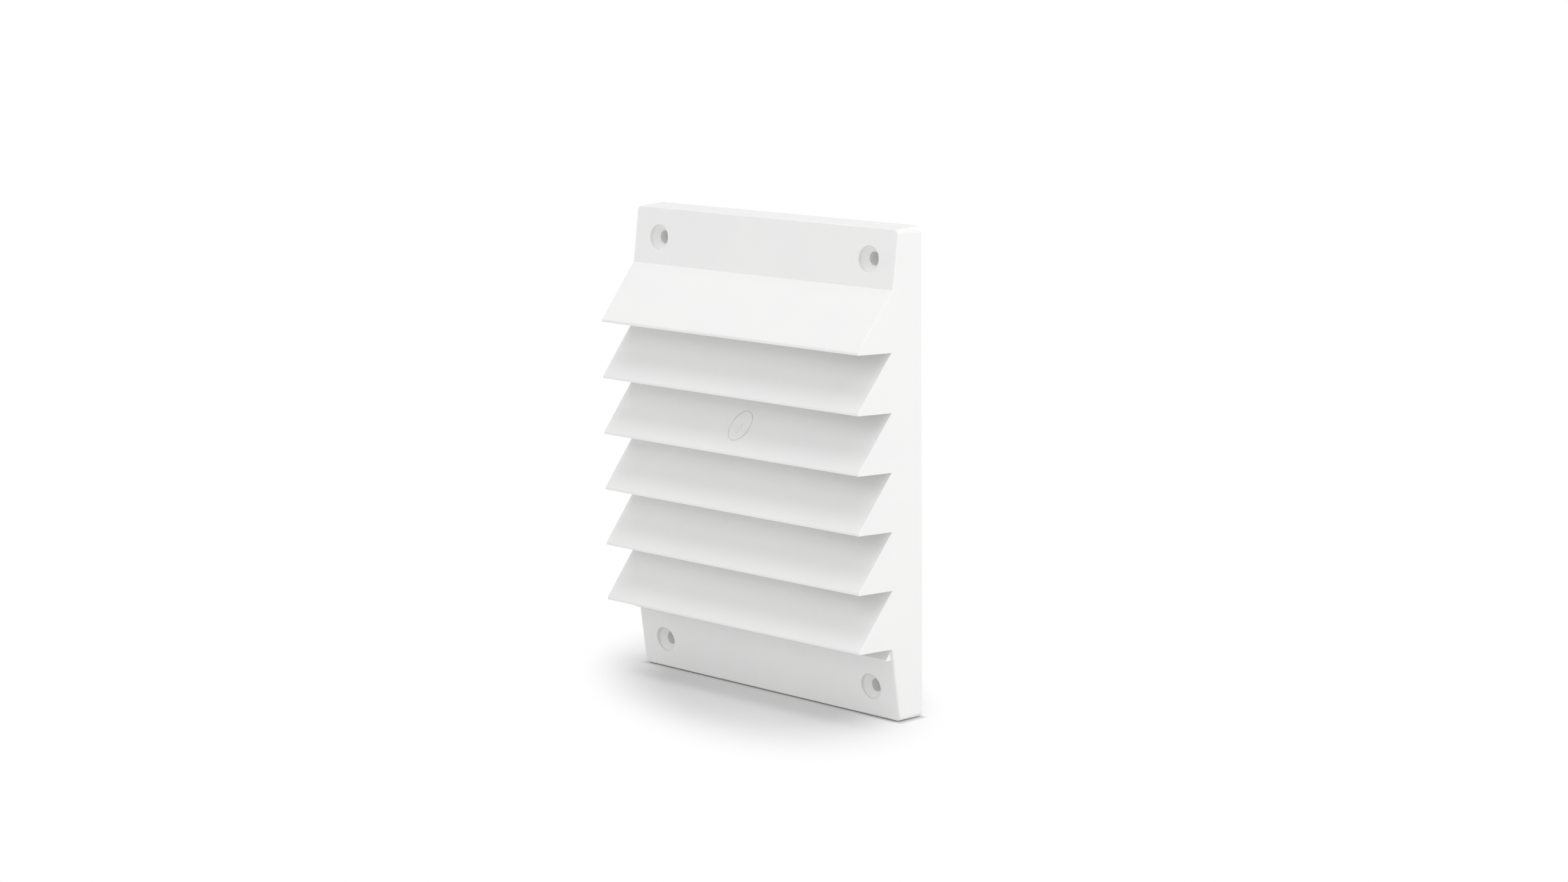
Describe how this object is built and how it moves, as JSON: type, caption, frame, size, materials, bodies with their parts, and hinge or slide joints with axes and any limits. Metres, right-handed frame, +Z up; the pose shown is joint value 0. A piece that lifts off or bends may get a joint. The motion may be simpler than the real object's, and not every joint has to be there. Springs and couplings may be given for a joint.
{
  "type": "wall vent",
  "caption": "Rectangular louvred wall vent with downward hoods, an open back and countersunk corner screw holes.",
  "frame": {"origin": "middle of the four fixing screws, on the wall face", "axes": "+X across, +Y into the wall, +Z up; the louvres point towards -Y"},
  "size_m": [0.128, 0.0305, 0.171],
  "materials": {
    "white_plastic": "satin moulded white"
  },
  "bodies": {
    "root": {"louvre_vent": "white_plastic"}
  },
  "joints": []
}
